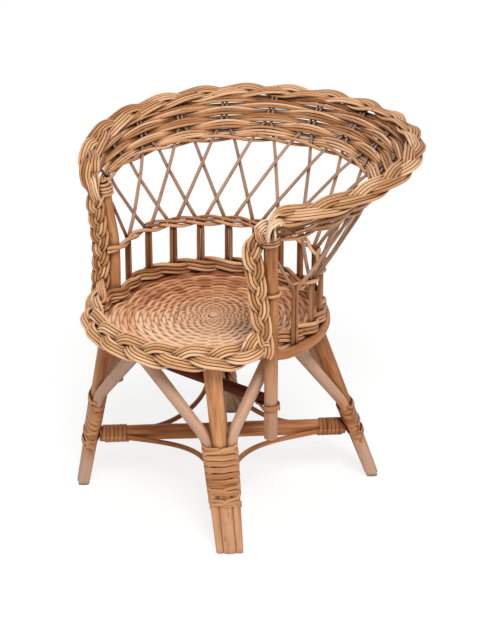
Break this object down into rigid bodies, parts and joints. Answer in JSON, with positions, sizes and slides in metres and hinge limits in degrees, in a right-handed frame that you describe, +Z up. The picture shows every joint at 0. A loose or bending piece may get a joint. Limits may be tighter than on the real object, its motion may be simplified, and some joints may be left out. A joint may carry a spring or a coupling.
{
  "type": "child's wicker chair",
  "caption": "Low willow tub chair for a small child, with a round woven seat, an open lattice back, a flared woven band, plaited borders and splayed, bound legs.",
  "frame": {"origin": "on the floor, under the middle of the chair's box", "axes": "+Z up, -Y the way the sitter faces, +X to the sitter's left"},
  "size_m": [0.4266, 0.459, 0.4632],
  "materials": {
    "peeled_stick": "bare peeled willow, satin",
    "willow_rod": "boiled willow rod, satin",
    "woven_willow": "boiled willow weave, satin",
    "plaited_willow": "boiled willow plait, satin",
    "split_strip": "shaved willow strip, satin"
  },
  "bodies": {
    "root": {"arm_post_left": "peeled_stick", "arm_post_right": "peeled_stick", "binding_front_left": "split_strip", "binding_front_right": "split_strip", "binding_rear_left": "split_strip", "binding_rear_right": "split_strip", "brace_front_left_to_front_right": "peeled_stick", "brace_front_left_to_rear_left": "peeled_stick", "brace_front_right_to_front_left": "peeled_stick", "brace_front_right_to_rear_right": "peeled_stick", "brace_rear_left_to_front_left": "peeled_stick", "brace_rear_left_to_rear_right": "peeled_stick", "brace_rear_right_to_front_right": "peeled_stick", "brace_rear_right_to_rear_left": "peeled_stick", "fillet_front_left_to_rear_left": "peeled_stick", "fillet_front_right_to_front_left": "peeled_stick", "fillet_rear_left_to_rear_right": "peeled_stick", "fillet_rear_right_to_front_right": "peeled_stick", "front_plait": "plaited_willow", "leg_front_left": "peeled_stick", "leg_front_right": "peeled_stick", "leg_rear_left": "peeled_stick", "leg_rear_right": "peeled_stick", "mid_waling": "woven_willow", "rim_plait": "plaited_willow", "seat_hoop": "peeled_stick", "seat_waling": "woven_willow", "stretcher_front_left_to_rear_right": "peeled_stick", "stretcher_front_right_to_rear_left": "peeled_stick", "tie_left": "split_strip", "tie_right": "split_strip", "top_band": "woven_willow", "under_seat_crossbar": "peeled_stick", "wall_rod_01_left": "willow_rod", "wall_rod_01_right": "willow_rod", "wall_rod_02_left": "willow_rod", "wall_rod_02_right": "willow_rod", "wall_rod_03_left": "willow_rod", "wall_rod_03_right": "willow_rod", "wall_rod_04_left": "willow_rod", "wall_rod_04_right": "willow_rod", "wall_rod_05_left": "willow_rod", "wall_rod_05_right": "willow_rod", "wall_rod_06_left": "willow_rod", "wall_rod_06_right": "willow_rod", "wall_rod_07_left": "willow_rod", "wall_rod_07_right": "willow_rod", "wall_rod_08_left": "willow_rod", "wall_rod_08_right": "willow_rod", "wall_rod_09_left": "willow_rod", "wall_rod_09_right": "willow_rod", "wall_rod_10_left": "willow_rod", "wall_rod_10_right": "willow_rod", "wall_rod_11_left": "willow_rod", "wall_rod_11_right": "willow_rod", "wall_rod_12_left": "willow_rod", "wall_rod_12_right": "willow_rod", "wall_rod_13_left": "willow_rod", "wall_rod_13_right": "willow_rod", "woven_seat": "woven_willow"}
  },
  "joints": []
}
